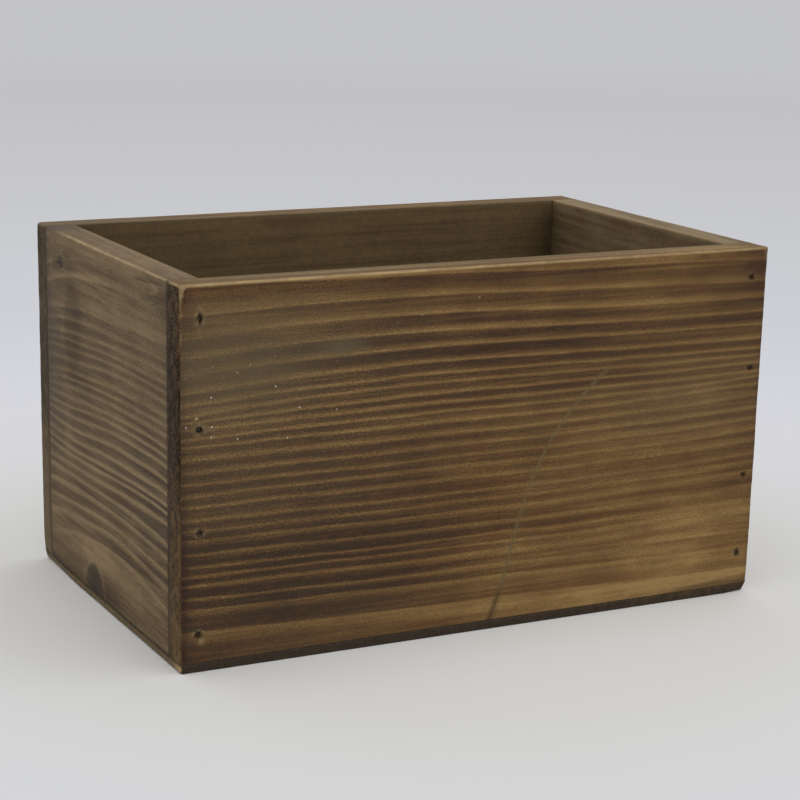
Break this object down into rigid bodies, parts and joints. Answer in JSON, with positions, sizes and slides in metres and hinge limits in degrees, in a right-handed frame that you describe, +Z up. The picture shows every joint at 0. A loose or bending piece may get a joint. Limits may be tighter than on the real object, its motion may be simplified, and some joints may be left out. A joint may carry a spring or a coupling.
{
  "type": "wooden box",
  "caption": "Open-topped rectangular storage box nailed together from dark-stained softwood boards on a thin base panel.",
  "frame": {"origin": "middle of the underside of the base panel, on the surface the box stands on", "axes": "+X along the long front board, +Y from the front board to the back board, +Z up out of the open top"},
  "size_m": [0.256, 0.161, 0.1462],
  "materials": {
    "stained_softwood": "matt dark brown stain over open grain",
    "base_wood": "matt dark stain, raw at the sawn edges",
    "brad_steel": "bright drawn wire, dulled"
  },
  "bodies": {
    "root": {"front_board": "stained_softwood", "back_board": "stained_softwood", "left_end_board": "stained_softwood", "right_end_board": "stained_softwood", "base_panel": "base_wood", "front_left_brads": "brad_steel", "front_right_brads": "brad_steel", "back_left_brads": "brad_steel", "back_right_brads": "brad_steel", "base_front_brads": "brad_steel", "base_back_brads": "brad_steel", "base_left_brads": "brad_steel", "base_right_brads": "brad_steel"}
  },
  "joints": []
}
